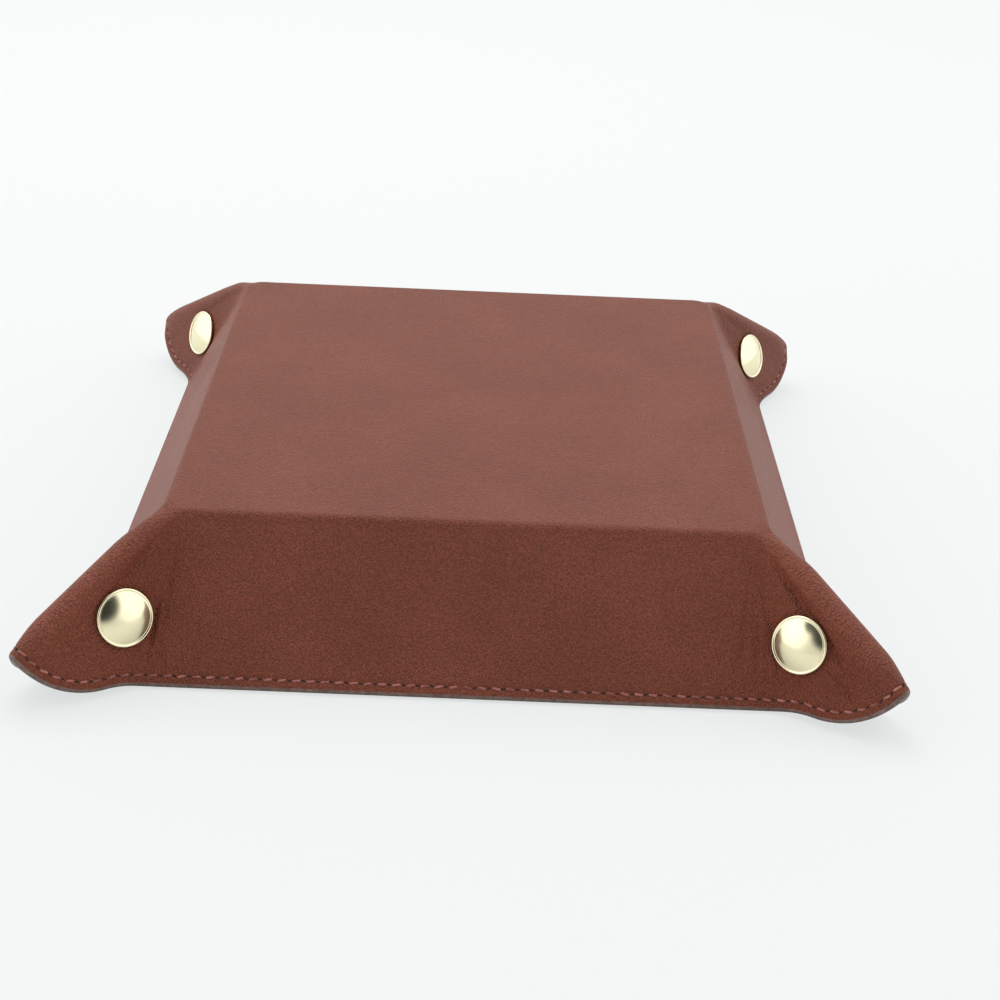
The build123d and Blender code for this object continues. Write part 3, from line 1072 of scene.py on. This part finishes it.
# Snap caps
cap_dome_height = 0.0022
cap_rim_radius = 0.0004
cap_valley_height = 0.0007
cap_around = 96
cap_rim_turns = np.linspace(-90, 150, 17)
cap_dome_shares = np.linspace(1, 0, 22)
cap_valley_share = 1.12
cap_valley_width = 0.00006


def cap_profile():
    """Radius and height of the cap's face from its rim's foot over the rolled rim to the middle."""
    profile = []
    rim_centre = cap_radius - cap_rim_radius
    for turn in cap_rim_turns:
        a = math.radians(turn)
        profile.append((rim_centre + cap_rim_radius * math.cos(a), cap_rim_radius * (1 + math.sin(a))))
    edge = rim_centre - cap_rim_radius * cap_valley_share
    profile.append((edge + cap_valley_width, cap_valley_height))
    rise = cap_dome_height - cap_valley_height
    dome_radius = (edge**2 + rise**2) / (2 * rise)
    for share in cap_dome_shares:
        r = edge * share
        height = cap_dome_height - (dome_radius - math.sqrt(dome_radius**2 - r**2))
        profile.append((r, height))
    return profile


def build_cap(half):
    body = half["corner"] + "_ear_" + half["owner"]
    centre = crease_origin + fold_dir * snap_along_fold + ear_inward * snap_from_fold
    points, faces = [], []
    profile = cap_profile()[:-1]
    for r, height in profile:
        for j in range(cap_around):
            a = 2 * math.pi * j / cap_around
            offset = r * (math.cos(a) * fold_dir + math.sin(a) * ear_inward)
            points.append(centre + offset + height * ear_normal)
    points.append(centre + cap_dome_height * ear_normal)
    for i in range(len(profile) - 1):
        a, b = i * cap_around, (i + 1) * cap_around
        for j in range(cap_around):
            k = (j + 1) % cap_around
            faces.append([a + j, a + k, b + k, b + j])
    top = len(points) - 1
    last = (len(profile) - 1) * cap_around
    for j in range(cap_around):
        faces.append([last + j, last + (j + 1) % cap_around, top])
    if flipped(half):
        faces = [f[::-1] for f in faces]
    name = body + "_cap_face"
    cap = new_object(name, smooth_mesh(name, place(half, np.array(points)), faces, [cap_gold]))
    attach(cap, body)
    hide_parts(body + "_cap")


build_base()
build_walls()
build_ears()
for half in halves:
    build_cap(half)
for name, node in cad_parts.items():
    if name.endswith(("_socket", "_spring", "_stud")):
        node.data.materials.clear()
        node.data.materials.append(inner_gold)


# Camera, from a fit to the photograph
def add_camera():
    focal_pixels = 1919.12
    picture_pixels = 1000
    sensor = 0.036
    rotation_vector = np.array([2.01746, 0.0333977, 0.0394387])
    offset = np.array([-0.00940172, 0.00281599, 0.583706])
    fitted_height = wall_width * math.sin(flare)
    angle = np.linalg.norm(rotation_vector)
    turn = np.array(Matrix.Rotation(angle, 3, Vector(rotation_vector / angle)))
    where = -turn.T @ offset + np.array([0, 0, base_height - fitted_height])
    data = bpy.data.cameras.new("camera")
    data.sensor_width = sensor * 1000
    data.lens = focal_pixels / picture_pixels * sensor * 1000
    data.clip_start = 0.01
    camera = bpy.data.objects.new("camera", data)
    bpy.context.scene.collection.objects.link(camera)
    axes = Matrix((turn[0], -turn[1], -turn[2])).transposed()
    camera.matrix_world = Matrix.Translation(Vector(where)) @ axes.to_4x4()
    bpy.context.scene.camera = camera


def add_area(name, place_at, look_at, size, power):
    data = bpy.data.lights.new(name, "AREA")
    data.shape = "RECTANGLE"
    data.size, data.size_y = size
    data.energy = power
    light = bpy.data.objects.new(name, data)
    bpy.context.scene.collection.objects.link(light)
    light.location = place_at
    direction = Vector(look_at) - Vector(place_at)
    light.rotation_euler = direction.to_track_quat("-Z", "Y").to_euler()


def add_floor():
    """White ground. The camera sees part of it as paper white, and the tray gets no light from that."""
    mesh = bpy.data.meshes.new("floor")
    reach = 4.0
    corners = [(-reach, -reach, 0), (reach, -reach, 0), (reach, reach, 0), (-reach, reach, 0)]
    mesh.from_pydata(corners, [], [[0, 1, 2, 3]])
    material, nodes, links, shader = node_material("floor_white")
    seen = nodes.new("ShaderNodeLightPath").outputs["Is Camera Ray"]
    tone = nodes.new("ShaderNodeMix")
    tone.data_type = "RGBA"
    tone.inputs[6].default_value = (0.78, 0.79, 0.80, 1)
    tone.inputs[7].default_value = (0.16, 0.16, 0.16, 1)
    links.new(seen, tone.inputs["Factor"])
    paper_white = nodes.new("ShaderNodeMath")
    paper_white.operation = "MULTIPLY"
    paper_white.inputs[1].default_value = 0.715
    links.new(seen, paper_white.inputs[0])
    links.new(paper_white.outputs[0], shader.inputs["Emission Strength"])
    shader.inputs["Emission Color"].default_value = (0.92, 0.95, 0.94, 1)
    links.new(tone.outputs[2], shader.inputs["Base Color"])
    shader.inputs["Roughness"].default_value = 0.85
    shader.inputs["Specular IOR Level"].default_value = 0.2
    mesh.materials.append(material)
    new_object("floor", mesh)


def direction_mask(nodes, links, direction, from_angle, to_angle):
    """One where the world is seen nearer to a direction than one angle, nothing beyond the other."""
    coordinates = nodes.new("ShaderNodeTexCoord")
    dot = nodes.new("ShaderNodeVectorMath")
    dot.operation = "DOT_PRODUCT"
    dot.inputs[1].default_value = unit(direction)
    links.new(coordinates.outputs["Generated"], dot.inputs[0])
    level = nodes.new("ShaderNodeMapRange")
    level.interpolation_type = "SMOOTHSTEP"
    level.inputs["From Min"].default_value = math.cos(math.radians(to_angle))
    level.inputs["From Max"].default_value = math.cos(math.radians(from_angle))
    links.new(dot.outputs["Value"], level.inputs["Value"])
    return level.outputs["Result"]


def add_world():
    """A studio: even light, brighter from both sides, a dark room in front and a window at the left."""
    world = bpy.data.worlds.new("studio")
    bpy.context.scene.world = world
    world.use_nodes = True
    nodes, links = world.node_tree.nodes, world.node_tree.links
    level = None
    for direction, from_angle, to_angle, strength in world_areas:
        mask = direction_mask(nodes, links, direction, from_angle, to_angle)
        blend = nodes.new("ShaderNodeMix")
        blend.data_type = "FLOAT"
        links.new(mask, blend.inputs["Factor"])
        if level is None:
            blend.inputs["A"].default_value = world_level
        else:
            links.new(level, blend.inputs["A"])
        blend.inputs["B"].default_value = strength
        level = blend.outputs["Result"]
    background = nodes["Background"]
    background.inputs["Color"].default_value = (1, 1, 1, 1)
    links.new(level, background.inputs["Strength"])


# The world's level, and its areas: direction, angle of full strength in degrees, angle of none, strength
world_level = 1.0
world_areas = (
    ((0.0, 1.0, 0.25), 25, 80, 1.0),
    ((-1.0, 0.0, 0.6), 30, 60, 1.9),
    ((1.0, 0.0, 0.6), 30, 60, 1.8),
    ((0.12, -1.0, 0.8), 25, 38, 0.04),
    ((-0.45, -0.6, 1.0), 12, 22, 0.1),
    ((-1.0, -0.35, 0.62), 13, 17, 2.1),
)

add_camera()
add_floor()
add_world()
add_area("key", (-0.15, 0.55, 1.0), (0, 0, 0.03), (0.8, 0.6), 5.6)
bpy.context.scene.view_settings.view_transform = "Standard"

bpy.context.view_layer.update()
